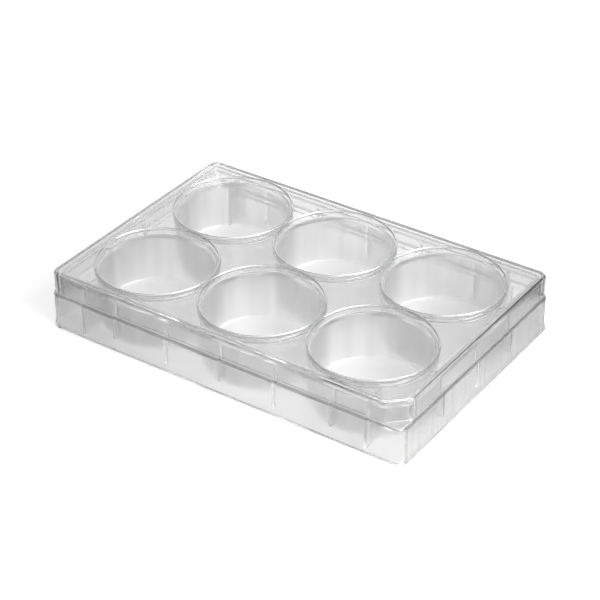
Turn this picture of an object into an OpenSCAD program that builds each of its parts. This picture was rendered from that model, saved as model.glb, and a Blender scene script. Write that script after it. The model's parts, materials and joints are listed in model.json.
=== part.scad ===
// Six-well culture plate with its lid on, moulded in clear polystyrene.
// Millimetres. The origin is the middle of the footprint, on the surface the plate stands on.
// +X runs along the long side, +Y along the short side and +Z up.
// The orientation corner, cut off at 45 degrees, is at +X, -Y.

/* [Footprint] */
// Length of the foot, along X
foot_l = 127.76; // [127.26:0.01:128.01]
// Width of the foot, along Y
foot_w = 85.48; // [84.98:0.01:85.73]
// Radius of the foot's corners, seen from above
foot_r = 3.5; // [2.5:0.1:4.5]
// How far the foot stands out of the lower wall
foot_flare = 0.42; // [0.2:0.02:0.6]
// Height over which the foot flares out
foot_h = 3; // [2:0.1:4]

/* [Plate] */
// Height of the plate's top rim, which carries the lid
rim_z = 18.3; // [17.5:0.1:20]
// Height of the ledge under the lid's skirt
ledge_z = 11.9; // [10:0.1:13]
// Height of the deck between the wells
deck_z = 17.1; // [16.5:0.1:17.3]
// Thickness of the moulded walls
wall = 1.2; // [1:0.05:1.3]
// Thickness of the deck
deck_t = 1.1; // [1:0.05:1.3]

/* [Wells] */
// Distance between neighbouring well centres
pitch = 39.12; // [39:0.01:39.3]
// Inner radius of a well at its mouth
well_r_mouth = 17.75; // [17.4:0.05:17.9]
// Inner radius of a well at its floor
well_r_floor = 17.35; // [17:0.05:17.4]
// Thickness of a well's wall
well_wall = 1.1; // [0.9:0.05:1.15]
// Radius of the fillet between a well's wall and its floor
well_fillet = 0.6; // [0.3:0.1:1]
// Thickness of a well's floor
floor_t = 1.2; // [1:0.05:1.5]
// Gap between the wells' undersides and the surface below
floor_lift = 1; // [0.6:0.1:1.5]
// How far the raised lip round each well stands above the deck
lip_h = 0.7; // [0.4:0.1:1]

/* [Ribs] */
// Thickness of the ribs between the wells and the walls
rib_t = 0.9; // [0.7:0.05:1.2]
// Distance from the middle to the ribs near the corners, along X
corner_rib_x = 51; // [49:0.1:53]
// Height at which the ribs opposite the wells begin
rib_low_z = 3.6; // [1:0.1:6]
// Radius of the half-round ridges up the walls, between the wells
ridge_r = 0.7; // [0.4:0.05:0.9]
// Height at which those ridges begin
ridge_low_z = 2.6; // [1:0.1:5]
// Height at which those ridges end
ridge_high_z = 15; // [13:0.1:15.5]

/* [Lid] */
// Thickness of the lid's top
lid_t = 1.3; // [1:0.1:1.6]
// Thickness of the lid's skirt
skirt_t = 1.25; // [1:0.05:1.3]
// How far the lid's skirt hangs below the plate's top rim
skirt_drop = 6.1; // [5:0.1:6.3]
// How far the lid's outline lies inside the footprint, on each side
lid_inset = 0.8; // [0.6:0.05:0.9]
// Gap between the lid's skirt and the wall inside it
lid_gap = 0.5; // [0.4:0.05:0.6]
// Radius of the lid's rounded corners
lid_r = 3; // [2.5:0.1:3.5]
// How much the orientation corner cuts off each side of the lid
corner_cut = 6.3; // [4:0.1:6.8]

/* [Rings] */
// Outer radius of the raised ring over each well
ring_r = 19.45; // [19.2:0.05:19.5]
// Width of the raised ring
ring_w = 0.6; // [0.5:0.05:1.2]
// Height of the raised ring above the lid's top
ring_h = 0.7; // [0.4:0.05:0.8]

/* [Hidden] */
$fn = 96;
plastic = [0.86, 0.87, 0.88, 0.45];
slack = 1; // how far a cutting shape runs past what it cuts
columns = [-pitch, 0, pitch];
rows = [-pitch / 2, pitch / 2];
lower_inset = foot_flare;
upper_inset = lid_inset + skirt_t + lid_gap;
well_base_z = floor_lift;
floor_z = floor_lift + floor_t;
lip_z = deck_z + lip_h;
foot_rest_h = 0.6; // height of the flat band at the very bottom of the foot
inner_r = 1; // radius of the corners inside the upper wall
lip_round = 0.4; // how much the well's lip is rounded off outside
lid_top_z = rim_z + lid_t;
skirt_z = rim_z - skirt_drop;
rib_top_z = ledge_z - wall / 2;
lower_face_l = foot_l / 2 - lower_inset - wall; // from the middle to the lower wall's inner face, along X
lower_face_w = foot_w / 2 - lower_inset - wall;
upper_face_l = foot_l / 2 - upper_inset - wall; // the same for the upper wall
upper_face_w = foot_w / 2 - upper_inset - wall;

// The footprint drawn in by `inset` on every side, with rounded corners.
// `cut` slices the orientation corner off, measured along each side.
module outline(inset, r, cut = 0) {
    l = foot_l - 2 * inset;
    w = foot_w - 2 * inset;
    cut_reach = 2 * cut;
    difference() {
        union() {
            square([l - 2 * r, w], center = true);
            square([l, w - 2 * r], center = true);
            for (x = [-1, 1], y = [-1, 1])
                translate([x * (l / 2 - r), y * (w / 2 - r)]) circle(r);
        }
        if (cut > 0)
            translate([l / 2, -w / 2]) rotate(45)
                square([2 * cut_reach, cut * sqrt(2)], center = true);
    }
}

// An outline raised from z0 to z1.
module block(z0, z1, inset, r, cut = 0) {
    translate([0, 0, z0]) linear_extrude(z1 - z0) outline(inset, r, cut);
}

// The foot: flat where it rests, then drawn in to the lower wall.
module foot() {
    sliver = 0.05;
    block(0, foot_rest_h, 0, foot_r);
    hull() {
        block(foot_rest_h - sliver, foot_rest_h, 0, foot_r, $fn = 32);
        block(foot_h - sliver, foot_h, lower_inset, foot_r - lower_inset, $fn = 32);
    }
}

// The cut of a wall that lies further in, whose facet stays parallel to the lid's.
function cut_at(inset) = corner_cut - (2 - sqrt(2)) * (inset - lid_inset);

// The outer skin of the plate, solid: foot, lower wall, ledge and upper wall.
module plate_body() {
    foot();
    block(foot_h, ledge_z, lower_inset, foot_r - lower_inset);
    block(ledge_z, rim_z, upper_inset, lid_r - (upper_inset - lid_inset) / 2, cut_at(upper_inset));
}

// The hollow under the ledge and the deck, open below.
module under_hollow() {
    lower_in = lower_inset + wall;
    upper_in = upper_inset + wall;
    block(-slack, ledge_z - wall, lower_in, foot_r - lower_in);
    block(ledge_z - wall - slack, deck_z - deck_t, upper_in, inner_r, cut_at(upper_in));
}

// The shallow hollow above the deck, inside the top rim.
module deck_hollow() {
    upper_in = upper_inset + wall;
    block(deck_z, rim_z + slack, upper_in, inner_r, cut_at(upper_in));
}

// One well's outside, from its base to the raised lip round its mouth.
module well_outside() {
    r_base = well_r_floor + well_wall;
    r_lip = well_r_mouth + well_wall;
    rotate_extrude()
        polygon([
            [0, well_base_z],
            [r_base, well_base_z],
            [r_lip, deck_z],
            [r_lip, lip_z - lip_round],
            [r_lip - lip_round, lip_z],
            [0, lip_z]
        ]);
}

// One well's inside, with a fillet at the floor and an eased mouth.
module well_inside() {
    ease = 0.4;
    steps = 6;
    rotate_extrude()
        polygon(concat(
            [[0, floor_z], [well_r_floor - well_fillet, floor_z]],
            [for (i = [1 : steps]) let (a = 90 * i / steps)
                [well_r_floor - well_fillet * (1 - sin(a)), floor_z + well_fillet * (1 - cos(a))]],
            [
                [well_r_mouth, lip_z - ease],
                [well_r_mouth + ease, lip_z],
                [well_r_mouth + ease, lip_z + slack],
                [0, lip_z + slack]
            ]
        ));
}

// Puts a copy of the children at each well.
module at_wells() {
    for (x = columns, y = rows) translate([x, y, 0]) children();
}

// A thin rib from under a well out to both walls along +Y, standing at x and starting at z0.
// `reach_lower` and `reach_upper` are the middles of the lower and the upper wall.
module rib(x, z0, start, reach_lower, reach_upper) {
    translate([x - rib_t / 2, start, z0])
        cube([rib_t, reach_lower - start, rib_top_z - z0]);
    translate([x - rib_t / 2, start, rib_top_z])
        cube([rib_t, reach_upper - start, deck_z - deck_t / 2 - rib_top_z]);
}

// The ribs that tie the wells to the walls.
// Those opposite the wells stop short of the foot, and those near the corners run all the way down.
module ribs() {
    for (side = [0, 1]) {
        mirror([0, side, 0]) {
            for (x = columns)
                rib(x, rib_low_z, pitch / 2, lower_face_w + wall / 2, upper_face_w + wall / 2);
            for (x = [-corner_rib_x, corner_rib_x])
                rib(x, well_base_z, pitch / 2, lower_face_w + wall / 2, upper_face_w + wall / 2);
        }
        for (y = rows)
            mirror([side, 0, 0]) rotate(-90)
                rib(y, rib_low_z, pitch, lower_face_l + wall / 2, upper_face_l + wall / 2);
    }
}

// One half-round ridge up a wall's inner face, from z0 to z1.
module ridge(x, y, z0, z1) {
    translate([x, y, z0]) cylinder(r = ridge_r, h = z1 - z0);
}

// The ridges, midway between the wells on both walls.
module ridges() {
    for (side = [-1, 1]) {
        for (x = [-pitch / 2, pitch / 2]) {
            ridge(x, side * lower_face_w, ridge_low_z, rib_top_z);
            ridge(x, side * upper_face_w, rib_top_z, ridge_high_z);
        }
        ridge(side * lower_face_l, 0, ridge_low_z, rib_top_z);
        ridge(side * upper_face_l, 0, rib_top_z, ridge_high_z);
    }
}

module plate() {
    color(plastic)
        difference() {
            union() {
                difference() {
                    plate_body();
                    under_hollow();
                    deck_hollow();
                }
                at_wells() well_outside();
                ribs();
                ridges();
            }
            at_wells() well_inside();
        }
}

// A thin low ring standing on the lid over each well.
module ring() {
    round_over = 0.12;
    inner = ring_r - ring_w;
    top = lid_top_z + ring_h;
    rotate_extrude()
        polygon([
            [inner, lid_top_z - lid_t / 2],
            [ring_r, lid_top_z - lid_t / 2],
            [ring_r, top - round_over],
            [ring_r - round_over, top],
            [inner + round_over, top],
            [inner, top - round_over]
        ]);
}

module lid() {
    skirt_in = lid_inset + skirt_t;
    color(plastic) {
        difference() {
            union() {
                block(skirt_z, lid_top_z, lid_inset, lid_r, cut_at(lid_inset));
                at_wells() ring();
            }
            block(skirt_z - slack, rim_z, skirt_in, lid_r - skirt_t, cut_at(skirt_in));
        }
    }
}

plate();
lid();
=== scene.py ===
"""A six-well culture plate with its lid on, in clear moulded polystyrene.

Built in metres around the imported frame, in the order in which the object goes together.
"""
import json
import math

import bmesh
import bpy
from mathutils import Matrix, Vector


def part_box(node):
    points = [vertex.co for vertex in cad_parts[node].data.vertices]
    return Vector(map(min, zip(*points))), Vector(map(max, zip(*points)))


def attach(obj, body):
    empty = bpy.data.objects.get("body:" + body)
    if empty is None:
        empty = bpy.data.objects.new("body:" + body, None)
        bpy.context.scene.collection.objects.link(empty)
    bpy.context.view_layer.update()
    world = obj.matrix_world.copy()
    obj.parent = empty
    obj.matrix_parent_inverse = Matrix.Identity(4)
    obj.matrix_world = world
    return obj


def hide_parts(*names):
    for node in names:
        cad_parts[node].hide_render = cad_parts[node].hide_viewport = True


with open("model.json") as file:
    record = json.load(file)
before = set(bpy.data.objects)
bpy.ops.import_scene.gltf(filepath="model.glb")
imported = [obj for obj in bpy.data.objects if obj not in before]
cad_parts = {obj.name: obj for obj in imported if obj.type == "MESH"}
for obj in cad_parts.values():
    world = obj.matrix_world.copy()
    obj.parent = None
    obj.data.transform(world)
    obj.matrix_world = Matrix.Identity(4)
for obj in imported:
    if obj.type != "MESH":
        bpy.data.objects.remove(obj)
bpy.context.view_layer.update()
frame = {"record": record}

# ---- The plate -------------------------------------------------------------------------
# One injection moulding in clear polystyrene, open below: a flared foot, a lower wall, a
# ledge, an upper wall that carries the lid, and a deck from which six round wells hang.
mm = 0.001
plate_low, plate_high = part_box("plate")
foot_half_l = (plate_high.x - plate_low.x) / 2
foot_half_w = (plate_high.y - plate_low.y) / 2
rest_gap = 0.02 * mm  # air left between the rim and the lid that rests on it
rim_z = plate_high.z - rest_gap

foot_r = 3.5 * mm
foot_flare = 0.42 * mm
foot_band = 0.6 * mm
foot_h = 3 * mm
wall = 1.2 * mm
ledge_z = 11.9 * mm
deck_z = 17.1 * mm
deck_t = 1.1 * mm
upper_inset = 2.55 * mm
upper_r = 2.1 * mm
inner_r = 1.0 * mm
upper_cut = 5.27 * mm
inner_cut = 4.57 * mm
corner_steps = 8
blunt_steps = 4  # steps round each of the two blunt corners that a cut leaves

well_boxes = [o["box_m"] for o in frame["record"]["physics"]["openings"] if o["name"].startswith("well")]
well_centres = [((low[0] + high[0]) / 2, (low[1] + high[1]) / 2) for low, high in well_boxes]
well_r_mouth = 17.75 * mm
well_r_floor = 17.35 * mm
well_wall = 1.1 * mm
well_base_z = 1.0 * mm
well_floor_z = 2.2 * mm
lip_z = 17.8 * mm
well_steps = 128

margin = 0.45 * mm  # flat run beside an edge that gets rounded
foot_round = 0.2 * mm
deck_round = 0.3 * mm
rim_edge_round = 0.35 * mm
well_foot_round = 0.5 * mm
crease = math.radians(35)  # an edge that turns more than this is rounded
hard_edge = math.radians(40)  # an edge that turns more than this is shaded as an edge
round_steps = 4
touching = 0.001 * mm  # points nearer than this are one point
sliver = 0.0002 * mm  # edges shorter than this are closed up
level_within = 0.01 * mm  # points this near a height count as level with it


def plan(bm, inset, z, radius, cut=0.0):
    """A flat face at height z: the footprint drawn in, with round corners and perhaps one corner cut."""
    before = set(bm.faces)
    corners = bmesh.ops.create_grid(bm, x_segments=1, y_segments=1, size=1)["verts"]
    bmesh.ops.scale(bm, vec=(foot_half_l - inset, foot_half_w - inset, 1), verts=corners)
    bmesh.ops.translate(bm, vec=(0, 0, z), verts=corners)
    square = [v for v in corners if not (cut and v.co.x > 0 and v.co.y < 0)]
    if cut:
        notch = [v for v in corners if v not in square]
        bmesh.ops.bevel(bm, geom=notch, offset=cut, segments=1, profile=0.5, affect="VERTICES", material=-1)
        face = next(f for f in bm.faces if f not in before)
        blunt = [v for v in face.verts if v not in square]
        bmesh.ops.bevel(bm, geom=blunt, offset=radius * math.tan(math.pi / 8), segments=blunt_steps,
                        profile=0.5, affect="VERTICES", material=-1)
    bmesh.ops.bevel(bm, geom=square, offset=radius, segments=corner_steps, profile=0.5,
                    affect="VERTICES", material=-1)
    return next(f for f in bm.faces if f not in before)


def stepped(bm, face, steps):
    """Carries a flat face through steps of (drawn in by, raised by) and leaves a wall behind at each."""
    for drawn_in, raised in steps:
        bmesh.ops.inset_region(bm, faces=[face], thickness=drawn_in, depth=raised * face.normal.z,
                               use_boundary=True, use_even_offset=True)
    return face


def opened(bm, face):
    """Takes a face away and gives back the ring of edges round it."""
    edges = list(face.edges)
    bmesh.ops.delete(bm, geom=[face], context="FACES_ONLY")
    return edges


def off_axis(vert, centre):
    """How far a point stands from a well's axis."""
    return (vert.co.xy - Vector(centre)).length


def turned(bm, centre, profile):
    """A profile of (radius, height) points turned round a well's axis. Returns its first and last rings."""
    verts = [bm.verts.new((centre[0] + radius, centre[1], z)) for radius, z in profile]
    edges = [bm.edges.new(pair) for pair in zip(verts, verts[1:])]
    before = set(bm.faces)
    bmesh.ops.spin(bm, geom=verts + edges, cent=(centre[0], centre[1], 0), axis=(0, 0, 1),
                   angle=math.tau, steps=well_steps, use_merge=True)
    rims = [e for f in bm.faces if f not in before for e in f.edges if e.is_boundary]
    radius, z = profile[0]
    first = [e for e in rims if all(abs(v.co.z - z) < touching
                                    and abs(off_axis(v, centre) - radius) < touching for v in e.verts)]
    return first, [e for e in rims if e not in first]


def rounded(bm, radius, heights):
    """Rounds the sharp level edges that lie at the given heights."""
    sharp = [e for e in bm.edges if e.is_manifold and e.calc_face_angle() > crease
             and any(all(abs(v.co.z - z) < level_within for v in e.verts) for z in heights)]
    bmesh.ops.bevel(bm, geom=sharp, offset=radius, segments=round_steps, profile=0.5,
                    affect="EDGES", material=-1, clamp_overlap=False)
    bmesh.ops.dissolve_degenerate(bm, dist=touching, edges=bm.edges)


def moulding(name, bm, body="root"):
    """Makes the finished mesh an object whose flat faces stay flat beside their rounded edges."""
    bmesh.ops.dissolve_degenerate(bm, dist=sliver, edges=bm.edges)
    mesh = bpy.data.meshes.new(name)
    bm.to_mesh(mesh)
    bm.free()
    mesh.validate()
    mesh.shade_smooth()
    mesh.set_sharp_from_angle(angle=hard_edge)
    piece = bpy.data.objects.new(name, mesh)
    bpy.context.scene.collection.objects.link(piece)
    weighted = piece.modifiers.new("flat faces stay flat", "WEIGHTED_NORMAL")
    weighted.keep_sharp = True
    weighted.weight = 100
    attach(piece, body)
    return piece


def plate_mesh():
    """The walls, the deck and the wells as one skin, with sharp edges."""
    bm = bmesh.new()
    lower_in = foot_flare + wall
    upper_in = upper_inset + wall
    # outside: foot, lower wall and ledge, then the upper wall, its rim and the deck inside it
    ledge = stepped(bm, plan(bm, 0, plate_low.z, foot_r), [
        (0, foot_band), (foot_flare, foot_h - foot_band), (0, ledge_z - foot_h), (margin, 0)])
    crest = plan(bm, upper_inset - margin, ledge_z, upper_r + margin, upper_cut)
    bmesh.ops.triangle_fill(bm, use_beauty=True, edges=opened(bm, ledge) + list(crest.edges))
    deck = stepped(bm, crest, [
        (margin, 0), (0, rim_z - ledge_z), (wall, 0), (0, deck_z - rim_z), (margin, 0)])
    # inside, open below: the underside of the foot, the lower wall, the ledge and the upper wall
    shelf = stepped(bm, plan(bm, 0, plate_low.z, foot_r), [
        (lower_in, 0), (0, ledge_z - wall), (margin, 0)])
    throat = plan(bm, upper_in - margin, ledge_z - wall, inner_r + margin, inner_cut)
    bmesh.ops.triangle_fill(bm, use_beauty=True, edges=opened(bm, shelf) + list(throat.edges))
    under_z = deck_z - deck_t
    ceiling = stepped(bm, throat, [(margin, 0), (0, under_z - ledge_z + wall), (margin, 0)])
    top_rings, under_rings = opened(bm, deck), opened(bm, ceiling)
    lip_r = well_r_mouth + well_wall
    for centre in well_centres:
        floor, top = turned(bm, centre, [
            (well_r_floor, well_floor_z), (well_r_mouth, lip_z), (lip_r, lip_z), (lip_r, deck_z),
            (lip_r + margin, deck_z)])
        base, under = turned(bm, centre, [
            (well_r_floor + well_wall, well_base_z), (lip_r, under_z), (lip_r + margin, under_z)])
        bmesh.ops.edgeloop_fill(bm, edges=floor)
        bmesh.ops.edgeloop_fill(bm, edges=base)
        top_rings += top
        under_rings += under
    bmesh.ops.triangle_fill(bm, use_beauty=True, edges=top_rings)
    bmesh.ops.triangle_fill(bm, use_beauty=True, edges=under_rings)
    bmesh.ops.remove_doubles(bm, verts=bm.verts, dist=touching)
    bmesh.ops.recalc_face_normals(bm, faces=bm.faces)
    return bm


# Ribs of the same moulding stiffen the walls: one where each row and column of wells ends, one
# near each corner of the long sides, and a slim round ridge halfway between two wells.
rib_t = 0.9 * mm
rib_low = 3.6 * mm
rib_bite = 0.3 * mm  # how far a rib runs into the well it meets
rib_overlap = 0.1 * mm
corner_rib_x = 51 * mm
ridge_r = 0.7 * mm
ridge_low = 2.6 * mm
ridge_high = 15 * mm
ridge_sides = 24


def ribs_mesh():
    """The ribs and ridges, each run a little way into what it joins."""
    bm = bmesh.new()
    well_r = well_r_floor + well_wall - rib_bite
    column = max(x for x, y in well_centres)
    row = max(y for x, y in well_centres)
    corner_start = row + math.sqrt(well_r ** 2 - (corner_rib_x - column) ** 2)
    # half the length and width, to the middle of the lower wall and of the upper wall
    lower_l, lower_w = foot_half_l - foot_flare - wall / 2, foot_half_w - foot_flare - wall / 2
    upper_l, upper_w = foot_half_l - upper_inset - wall / 2, foot_half_w - upper_inset - wall / 2
    split_z, deck_in_z = ledge_z - wall / 2, deck_z - deck_t / 2

    def rib(x0, x1, y0, y1, z0, z1):
        """One rib, and its twin on the opposite side."""
        along_x = (x1 - x0) > (y1 - y0)
        for side in (-1, 1):
            cube = bmesh.ops.create_cube(bm, size=1)["verts"]
            bmesh.ops.scale(bm, vec=(x1 - x0, y1 - y0, z1 - z0), verts=cube)
            middle = Vector((x0 + x1, y0 + y1, z0 + z1)) / 2
            mirrored = Vector((side, 1, 1) if along_x else (1, side, 1))
            bmesh.ops.translate(bm, verts=cube, vec=middle * mirrored)

    def along_y(x, start, low):
        rib(x - rib_t / 2, x + rib_t / 2, start, lower_w, low, split_z)
        rib(x - rib_t / 2, x + rib_t / 2, start, upper_w, split_z - rib_overlap, deck_in_z)

    def along_x(y, start, low):
        rib(start, lower_l, y - rib_t / 2, y + rib_t / 2, low, split_z)
        rib(start, upper_l, y - rib_t / 2, y + rib_t / 2, split_z - rib_overlap, deck_in_z)

    def ridge(x, y, z0, z1):
        round_bar = bmesh.ops.create_cone(bm, cap_ends=True, segments=ridge_sides, radius1=ridge_r,
                                          radius2=ridge_r, depth=z1 - z0)["verts"]
        bmesh.ops.translate(bm, verts=round_bar, vec=(x, y, (z0 + z1) / 2))

    for x in (-column, 0, column):
        along_y(x, row + well_r, rib_low)
    for x in (-corner_rib_x, corner_rib_x):
        along_y(x, corner_start, well_base_z)
    for y in (-row, row):
        along_x(y, column + well_r, rib_low)
    for side in (-1, 1):
        for x in (-column / 2, column / 2):
            ridge(x, side * (lower_w - wall / 2), ridge_low, split_z)
            ridge(x, side * (upper_w - wall / 2), split_z - rib_overlap, ridge_high)
        ridge(side * (lower_l - wall / 2), 0, ridge_low, split_z)
        ridge(side * (upper_l - wall / 2), 0, split_z - rib_overlap, ridge_high)
    return bm


def united(bm, others):
    """The first mesh with the second joined on, as one closed skin."""
    parts = []
    for name, mesh_of in (("body", bm), ("joined", others)):
        mesh = bpy.data.meshes.new(name)
        mesh_of.to_mesh(mesh)
        mesh_of.free()
        part = bpy.data.objects.new(name, mesh)
        bpy.context.scene.collection.objects.link(part)
        parts.append(part)
    join = parts[0].modifiers.new("join", "BOOLEAN")
    join.operation, join.solver, join.object = "UNION", "MANIFOLD", parts[1]
    whole = bmesh.new()
    whole.from_object(parts[0], bpy.context.evaluated_depsgraph_get())
    for part in parts:
        mesh = part.data
        bpy.data.objects.remove(part)
        bpy.data.meshes.remove(mesh)
    # the union can leave a bare shell of two faces back to back on the same corners
    twins = [f for f in whole.faces
             if all(any(set(g.verts) == set(f.verts) for g in e.link_faces if g is not f) for e in f.edges)]
    bmesh.ops.delete(whole, geom=twins, context="FACES")
    return whole


bm = plate_mesh()
rounded(bm, foot_round, [plate_low.z])
rounded(bm, deck_round, [ledge_z - wall, deck_z - deck_t, deck_z])
rounded(bm, rim_edge_round, [lip_z, rim_z, ledge_z])
rounded(bm, well_foot_round, [well_base_z, well_floor_z])
plate = moulding("clear_plate", united(bm, ribs_mesh()))
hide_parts("plate")

# The plastic is polished where the mould is flat, and duller on the drawn walls, where the melt
# leaves upright streaks. The wells, their floors and the lower outer wall get greyer tints as painted
# shade.
refraction = 1.59
absorbs = 8  # per metre of plastic
wall_level, flat_level = 0.6, 0.97  # a face below the first counts as wall, above the second as flat
streak_scale = (260, 260, 12)
streak_low, streak_high = 0.35, 0.65
streaks_on_flats = 0.1
waves_on_flats = 0.4
peel_scale = 900
peel_in_roughness = 0.02
peel_in_height = 0.04
lamplight_past_wall, lamplight_past_flat = 0.86, 0.975
lamp_wall_level, lamp_flat_level = 0.3, 0.9
free_after, held_after = 12, 60  # bounces
towards_cut = (0.707, -0.707, 0)
cut_zone = 52 * mm  # from the middle of the plate, towards the cut corner
well_zone = 4 * mm  # the outer walls end this far inside the footprint
blend = 0.1 * mm  # half the width over which one look goes over into another

# painted shade: greyer tints on the wells, the well floors and the lower outer wall
wells_shaded_tint, lower_wall_shaded_tint, upper_wall_tint = 0.905, 0.965, 0.995
well_floor_shaded_tint, deck_tint = 0.9, 1
above_floors = 3 * mm
wells_roughness, outer_roughness, deck_roughness = 0.33, 0.24, 0.05
wells_streaks, outer_streaks = 0.14, 0.03
# painted shade: a dark line along the ledge's outer edge, and a contact shadow on the foot's resting face
painted_line_z = ledge_z - 0.15 * mm
painted_line_half = 0.2 * mm
painted_line_in = 1.2 * mm
painted_contact_shadow = 0.7  # painted contact shadow, as a share of the painted line's darkness
painted_shade_darkest = 0.35
plate_relief = 0.06 * mm


def node(tree, kind, operation=None, **inputs):
    """Adds one node and fills its inputs: a plain value is set, and an output of another node is linked."""
    made = tree.nodes.new("ShaderNode" + kind)
    if operation:
        made.operation = operation
    for key, value in inputs.items():
        socket = made.inputs[int(key[1:])] if key[1:].isdigit() else made.inputs[key.replace("_", " ")]
        if isinstance(value, bpy.types.NodeSocket):
            tree.links.new(value, socket)
        else:
            socket.default_value = value
    return made


def maths(tree, operation, first, second, third=None):
    """The output of a Math node with two or three inputs."""
    more = {} if third is None else {"_2": third}
    return node(tree, "Math", operation, _0=first, _1=second, **more).outputs[0]


def ramp(tree, value, start, end, first, last):
    """Goes from first to last while the value goes from start to end, and stays level beyond."""
    return node(tree, "MapRange", Value=value, From_Min=start, From_Max=end,
                To_Min=first, To_Max=last).outputs[0]


def levelness(tree):
    """1 on a face that looks straight up or down and 0 on an upright one."""
    upright = node(tree, "SeparateXYZ", _0=node(tree, "TexCoord").outputs["Normal"]).outputs["Z"]
    return node(tree, "Math", "ABSOLUTE", _0=upright).outputs[0]


def moulded_finish():
    """Shader group for clear moulded plastic: polished on flats, streaked by the melt on walls."""
    group = bpy.data.node_groups.new("moulded finish", "ShaderNodeTree")
    for name, usual in (("Flat tint", 0.99), ("Wall tint", 0.94), ("Flat roughness", 0.03),
                        ("Wall roughness", 0.2), ("Streaks", 0.03), ("Shade", 1)):
        socket = group.interface.new_socket(name=name, in_out="INPUT", socket_type="NodeSocketFloat")
        socket.default_value = usual
    for name, kind in (("Color", "NodeSocketColor"), ("Roughness", "NodeSocketFloat"),
                       ("Height", "NodeSocketFloat")):
        group.interface.new_socket(name=name, in_out="OUTPUT", socket_type=kind)
    given = group.nodes.new("NodeGroupInput").outputs
    flat = ramp(group, levelness(group), wall_level, flat_level, 0, 1)
    where = node(group, "TexCoord").outputs["Object"]
    stretched = node(group, "Mapping", Vector=where, Scale=streak_scale).outputs[0]
    melt = node(group, "TexNoise", Vector=stretched, Scale=1, Detail=2, Roughness=0.6).outputs["Fac"]
    peel = node(group, "TexNoise", Vector=where, Scale=peel_scale, Detail=3).outputs["Fac"]
    # colour: the wall's or the flat's tint, with streaks that all but end on the flats
    band = ramp(group, melt, streak_low, streak_high, -0.5, 0.5)
    streaks = maths(group, "MULTIPLY", given["Streaks"], ramp(group, flat, 0, 1, 1, streaks_on_flats))
    tint = ramp(group, flat, 0, 1, given["Wall tint"], given["Flat tint"])
    tint = maths(group, "MULTIPLY", maths(group, "MULTIPLY_ADD", band, streaks, tint), given["Shade"])
    tint = maths(group, "MINIMUM", tint, 1)
    # roughness, broken up by the peel
    rough = ramp(group, flat, 0, 1, given["Wall roughness"], given["Flat roughness"])
    rough = maths(group, "MULTIPLY_ADD", peel, peel_in_roughness, rough)
    # height: the melt's waves, flatter on the flats, with the peel on top
    waves = ramp(group, flat, 0, 1, 1, waves_on_flats)
    waves = maths(group, "MULTIPLY", maths(group, "SUBTRACT", melt, 0.5), waves)
    height = maths(group, "MULTIPLY_ADD", peel, peel_in_height, waves)
    result = group.nodes.new("NodeGroupOutput").inputs
    for name, value in (("Color", tint), ("Roughness", rough), ("Height", height)):
        group.links.new(value, result[name])
    return group


finish = moulded_finish()


def thinned(tree):
    """How much lamplight each surface lets by: most where it lies flat, less on the walls."""
    return ramp(tree, levelness(tree), lamp_wall_level, lamp_flat_level,
                lamplight_past_wall, lamplight_past_flat)


def let_through(tree, ray):
    """Which rays pass straight on: lamplight, bounced light, and rays that the plastic would trap for ever.

    Near the cut corner such rays are held, and give the dark line under the lid's edge there.
    """
    soft = maths(tree, "MAXIMUM", ray["Is Shadow Ray"], ray["Is Diffuse Ray"])
    where = node(tree, "TexCoord").outputs["Object"]
    to_cut = node(tree, "VectorMath", "DOT_PRODUCT", _0=where, _1=towards_cut).outputs["Value"]
    bounces = ramp(tree, to_cut, cut_zone, cut_zone + mm, free_after, held_after)
    trapped = maths(tree, "GREATER_THAN", ray["Ray Depth"], bounces)
    return maths(tree, "MAXIMUM", soft, trapped)


def clear_plastic(name, bump, **values):
    """Clear polystyrene with the moulded finish. A value may be a number or a function that adds nodes."""
    material = bpy.data.materials.new(name)
    material.use_nodes = True
    tree = material.node_tree
    shader, result = tree.nodes["Principled BSDF"], tree.nodes["Material Output"].inputs
    look = tree.nodes.new("ShaderNodeGroup")
    look.node_tree = finish
    for key, value in values.items():
        socket = look.inputs[key.replace("_", " ")]
        if callable(value):
            tree.links.new(value(tree), socket)
        else:
            socket.default_value = value
    tree.links.new(look.outputs["Color"], shader.inputs["Base Color"])
    tree.links.new(look.outputs["Roughness"], shader.inputs["Roughness"])
    relief = node(tree, "Bump", Height=look.outputs["Height"], Strength=1, Distance=bump)
    tree.links.new(relief.outputs[0], shader.inputs["Normal"])
    shader.inputs["IOR"].default_value = refraction
    shader.inputs["Transmission Weight"].default_value = 1
    ray = node(tree, "LightPath").outputs
    open_air = node(tree, "BsdfTransparent", Color=thinned(tree)).outputs[0]
    either = node(tree, "MixShader", _0=let_through(tree, ray), _1=shader.outputs[0], _2=open_air)
    tree.links.new(either.outputs[0], result["Surface"])
    depth = node(tree, "VolumeAbsorption", Color=(0, 0, 0, 1), Density=absorbs)
    tree.links.new(depth.outputs[0], result["Volume"])
    return material


def how_high(tree):
    """The height of a point above the bench."""
    return node(tree, "SeparateXYZ", _0=node(tree, "TexCoord").outputs["Object"]).outputs["Z"]


def past_edge(tree):
    """How far a point lies past the footprint's edge (negative inside it)."""
    place = node(tree, "SeparateXYZ", _0=node(tree, "TexCoord").outputs["Object"]).outputs
    past = [maths(tree, "SUBTRACT", node(tree, "Math", "ABSOLUTE", _0=place[axis]).outputs[0], half)
            for axis, half in (("X", foot_half_l), ("Y", foot_half_w))]
    return maths(tree, "MAXIMUM", *past)


def wells_or_walls(tree, wells, walls):
    """One value on the wells and what joins them, and another on the outer walls."""
    return ramp(tree, past_edge(tree), -well_zone - blend, -well_zone + blend, wells, walls)


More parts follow.
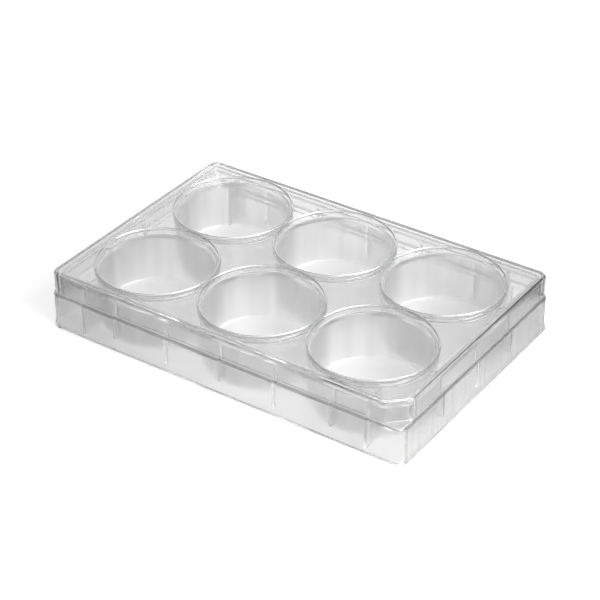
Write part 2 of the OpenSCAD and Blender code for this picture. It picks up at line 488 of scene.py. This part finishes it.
def plate_wall_tint_with_shade(tree):
    """Painted shade: the wells get the greyest tint, and the outer wall a greyer one below the ledge than
    above it.
    """
    outer = ramp(tree, how_high(tree), ledge_z - 2 * blend, ledge_z + 2 * blend,
                 lower_wall_shaded_tint, upper_wall_tint)
    return wells_or_walls(tree, wells_shaded_tint, outer)


def plate_flat_tint_with_shade(tree):
    """Painted shade: the well floors get a greyer tint than the deck."""
    return ramp(tree, how_high(tree), above_floors, above_floors + mm, well_floor_shaded_tint, deck_tint)


def plate_wall_roughness(tree):
    """The deep walls of the wells are duller than the outer walls."""
    return wells_or_walls(tree, wells_roughness, outer_roughness)


def plate_streaks(tree):
    """The melt leaves stronger streaks down the wells than down the outer walls."""
    return wells_or_walls(tree, wells_streaks, outer_streaks)


def plate_painted_shade(tree):
    """Painted shade: a dark line along the ledge's outer edge, and a painted contact shadow on the face
    that the foot rests on.
    """
    z = how_high(tree)
    off = node(tree, "Math", "ABSOLUTE", _0=maths(tree, "SUBTRACT", z, painted_line_z)).outputs[0]
    near = ramp(tree, off, painted_line_half, painted_line_half + 1.5 * blend, 1, 0)
    outside = ramp(tree, past_edge(tree), -painted_line_in - blend, -painted_line_in + blend, 0, 1)
    painted_line = maths(tree, "MULTIPLY", near, outside)
    contact_shadow = ramp(tree, z, blend, 2 * blend, painted_contact_shadow, 0)
    return ramp(tree, maths(tree, "MAXIMUM", painted_line, contact_shadow), 0, 1, 1, painted_shade_darkest)


# Shade carries the painted dark line and the painted contact shadow
plate.data.materials.append(clear_plastic(
    "clear polystyrene, plate", plate_relief, Flat_tint=plate_flat_tint_with_shade, Wall_tint=plate_wall_tint_with_shade,
    Flat_roughness=deck_roughness, Wall_roughness=plate_wall_roughness, Streaks=plate_streaks,
    Shade=plate_painted_shade))

# ---- The lid ---------------------------------------------------------------------------
# A second moulding in the same plastic that rests on the plate's rim: a flat top with a thin
# upright ring over each well, a skirt all round, and one corner cut off to show which way round.
lid_low, lid_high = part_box("lid")
lid_top_z = next(m["pos_m"][2] for m in frame["record"]["mounts"] if m["name"] == "lid_top")
skirt_z = lid_low.z
lid_half_l = (lid_high.x - lid_low.x) / 2
lid_inset = foot_half_l - lid_half_l
lid_half_w = foot_half_w - lid_inset
lid_t = 1.3 * mm
skirt_t = 1.25 * mm
lid_r = 3 * mm
lid_cut = 6.3 * mm
ring_r = 19.45 * mm
ring_w = 0.6 * mm
ring_draft = 0.04 * mm  # how far each flank of a ring leans in
ring_run = 0.05 * mm  # flat run outside a ring
ring_round = 0.12 * mm
skirt_round = 0.2 * mm
rim_round = 0.9 * mm  # rounding of the lid's outer top edge
rim_run = 0.1 * mm  # flat run inside that rounding
rim_steps = 6
square_edge = math.radians(60)
lid_tint = 0.995
lid_roughness, skirt_roughness, ring_roughness = 0.02, 0.1, 0.3
lid_streaks = 0.01
lid_relief = 0.02 * mm


def lid_mesh():
    """The lid as one skin, with sharp edges."""
    bm = bmesh.new()
    top = stepped(bm, plan(bm, lid_inset, skirt_z, lid_r, lid_cut), [
        (0, lid_top_z - skirt_z), (rim_round + rim_run, 0)])
    stepped(bm, plan(bm, lid_inset, skirt_z, lid_r, lid_cut), [
        (skirt_t, 0), (0, lid_top_z - lid_t - skirt_z)])
    rings = opened(bm, top)
    inner = ring_r - ring_w
    for centre in well_centres:
        middle, outside = turned(bm, centre, [
            (inner - margin, lid_top_z), (inner, lid_top_z), (inner + ring_draft, lid_high.z),
            (ring_r - ring_draft, lid_high.z), (ring_r, lid_top_z), (ring_r + ring_run, lid_top_z)])
        bmesh.ops.edgeloop_fill(bm, edges=middle)
        rings += outside
    bmesh.ops.triangle_fill(bm, use_beauty=True, edges=rings)
    bmesh.ops.remove_doubles(bm, verts=bm.verts, dist=touching)
    bmesh.ops.recalc_face_normals(bm, faces=bm.faces)
    return bm


def on_outer_top(vert):
    """Whether a corner of the mesh lies on the lid's outer top edge, and not on a ring."""
    if abs(vert.co.z - lid_top_z) > level_within:
        return False
    if max(abs(vert.co.x) - lid_half_l, abs(vert.co.y) - lid_half_w) < -lid_cut:
        return False
    return not any(abs(off_axis(vert, centre) - radius) < rim_run
                   for centre in well_centres for radius in (ring_r, ring_r - ring_w))


bm = lid_mesh()
rounded(bm, skirt_round, [skirt_z])
rounded(bm, ring_round, [lid_high.z])
rounded(bm, skirt_round, [lid_top_z - lid_t])
outer_top = [e for e in bm.edges
             if e.calc_face_angle(0) > square_edge and all(on_outer_top(v) for v in e.verts)]
bmesh.ops.bevel(bm, geom=outer_top, offset=rim_round, segments=rim_steps, profile=0.5,
                affect="EDGES", material=-1, clamp_overlap=False)
lid = moulding("clear_lid", bm)
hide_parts("lid")


def lid_wall_roughness(tree):
    """The rings' flanks are a little duller than the skirt."""
    return ramp(tree, how_high(tree), lid_top_z - blend, lid_top_z + blend / 2,
                skirt_roughness, ring_roughness)


lid.data.materials.append(clear_plastic(
    "clear polystyrene, lid", lid_relief, Flat_tint=lid_tint, Wall_tint=lid_tint,
    Flat_roughness=lid_roughness, Wall_roughness=lid_wall_roughness, Streaks=lid_streaks))

# ---- The floor -------------------------------------------------------------------------
# A matt white sheet of card, white wherever it is seen itself. Clear plastic bends the view of it, and
# there it carries painted shade, which greys and then goes dark towards the plate's two ends.
floor_gap = 0.03 * mm
floor_half = 2.5
sheet_along = (0.823, 0.568, 0)
sheet_full_r = 25 * mm  # the sheet is full white this far from the middle
sheet_r = 89 * mm  # and the painted shade goes dark from here
sheet_edge = 4 * mm
# painted shade, seen only through or in the plastic: the grey the sheet goes to, and the dark beyond it
sheet_painted_fade = 0.6
painted_dark_beyond = 0.05
lift_seen = 0.35  # glow added where the sheet is seen itself
lift_through = 0.32  # and where plastic shows it
grain_scale = 400
card_dark, card_pale = 0.94, 0.96

bm = bmesh.new()
bmesh.ops.create_grid(bm, x_segments=1, y_segments=1, size=floor_half)
bmesh.ops.translate(bm, vec=(0, 0, plate_low.z - floor_gap), verts=bm.verts)
mesh = bpy.data.meshes.new("floor")
bm.to_mesh(mesh)
bm.free()
floor = bpy.data.objects.new("floor", mesh)
bpy.context.scene.collection.objects.link(floor)


def sheet_with_painted_shade():
    """White all over where it is seen itself; where plastic shows it, painted shade greys it and turns it
    dark beyond.
    """
    material = bpy.data.materials.new("white sheet")
    material.use_nodes = True
    tree = material.node_tree
    shader = tree.nodes["Principled BSDF"]
    ray = node(tree, "LightPath").outputs
    where = node(tree, "TexCoord").outputs["Object"]
    away = node(tree, "VectorMath", "DOT_PRODUCT", _0=where, _1=sheet_along).outputs["Value"]
    away = node(tree, "Math", "ABSOLUTE", _0=away).outputs[0]
    # painted shade, which the camera never sees directly
    painted_fade = ramp(tree, away, sheet_full_r, sheet_r, 1, sheet_painted_fade)
    sheet = ramp(tree, away, sheet_r, sheet_r + sheet_edge, 1, painted_dark_beyond)
    pale = maths(tree, "MAXIMUM", ray["Is Camera Ray"], maths(tree, "MULTIPLY", painted_fade, sheet))
    grain = node(tree, "TexNoise", Vector=where, Scale=grain_scale).outputs["Fac"]
    tone = maths(tree, "MULTIPLY", ramp(tree, grain, 0, 1, card_dark, card_pale), pale)
    tree.links.new(tone, shader.inputs["Base Color"])
    shader.inputs["Roughness"].default_value = 0.9
    shader.inputs["Specular IOR Level"].default_value = 0.1
    seen = maths(tree, "MULTIPLY", ray["Is Camera Ray"], lift_seen)
    through = maths(tree, "MAXIMUM", ray["Is Glossy Ray"], ray["Is Transmission Ray"])
    through = maths(tree, "MULTIPLY", through, lift_through)
    lift = maths(tree, "MULTIPLY", maths(tree, "MAXIMUM", seen, through), pale)
    glowing = node(tree, "Emission", Strength=lift).outputs[0]
    both = node(tree, "AddShader", _0=shader.outputs[0], _1=glowing).outputs[0]
    tree.links.new(both, tree.nodes["Material Output"].inputs["Surface"])
    return material


floor.data.materials.append(sheet_with_painted_shade())

# ---- Room and lamps --------------------------------------------------------------------
# A dim room with one paler side, and three softboxes hung above the table and aimed at the
# plate. The one on the right is the strongest.
pale_side = (0.45, 0.893, 0)
room_dim, room_pale = 0.03, 0.45
dim_until, pale_from = -0.9, 0.25  # cosines of the angle to the pale side
world = bpy.data.worlds.new("room")
world.use_nodes = True
bpy.context.scene.world = world
tree = world.node_tree
facing = node(tree, "TexCoord").outputs["Generated"]
towards = node(tree, "VectorMath", "DOT_PRODUCT", _0=facing, _1=pale_side).outputs["Value"]
tree.nodes["Background"].inputs["Color"].default_value = (1, 1, 1, 1)
glow = ramp(tree, towards, dim_until, pale_from, room_dim, room_pale)
tree.links.new(glow, tree.nodes["Background"].inputs["Strength"])

for name, place, size, power in (
        ("near softbox", (0.70, -0.70, 0.80), (0.5, 0.5), 2.5),
        ("right softbox", (1.0, -0.1, 0.75), (0.6, 0.6), 12),
        ("back softbox", (-0.55, 0.80, 0.63), (0.9, 0.7), 1.2)):
    lamp = bpy.data.lights.new(name, "AREA")
    lamp.shape = "RECTANGLE"
    lamp.size, lamp.size_y = size
    lamp.energy = power
    holder = bpy.data.objects.new(name, lamp)
    holder.location = place
    holder.rotation_mode = "QUATERNION"
    holder.rotation_quaternion = (-Vector(place)).to_track_quat("-Z", "Y")
    bpy.context.scene.collection.objects.link(holder)

# ---- Camera ----------------------------------------------------------------------------
# A long lens that looks down on the cut corner from the front right. Light is followed for many
# bounces, because it turns round often inside the plastic.
azimuth, elevation, roll = math.radians(34.6), math.radians(33.27), math.radians(-0.30)
distance = 592.9 * mm
target = Vector((-1.12, 1.95, 8.0)) * mm
back = Vector((math.sin(azimuth) * math.cos(elevation), -math.cos(azimuth) * math.cos(elevation),
               math.sin(elevation)))
camera = bpy.data.objects.new("camera", bpy.data.cameras.new("camera"))
camera.data.sensor_width = 36
camera.data.lens = 115.764
camera.data.clip_start, camera.data.clip_end = 0.01, 20
turn = (-back).to_track_quat("-Z", "Y").to_matrix() @ Matrix.Rotation(roll, 3, "Z")
camera.matrix_world = Matrix.Translation(target + back * distance) @ turn.to_4x4()
bpy.context.scene.collection.objects.link(camera)
bpy.context.scene.camera = camera

scene = bpy.context.scene
scene.view_settings.view_transform = "Standard"
most_bounces = 32
scene.cycles.max_bounces = most_bounces
scene.cycles.transmission_bounces = most_bounces
scene.cycles.glossy_bounces = most_bounces
scene.cycles.transparent_max_bounces = most_bounces
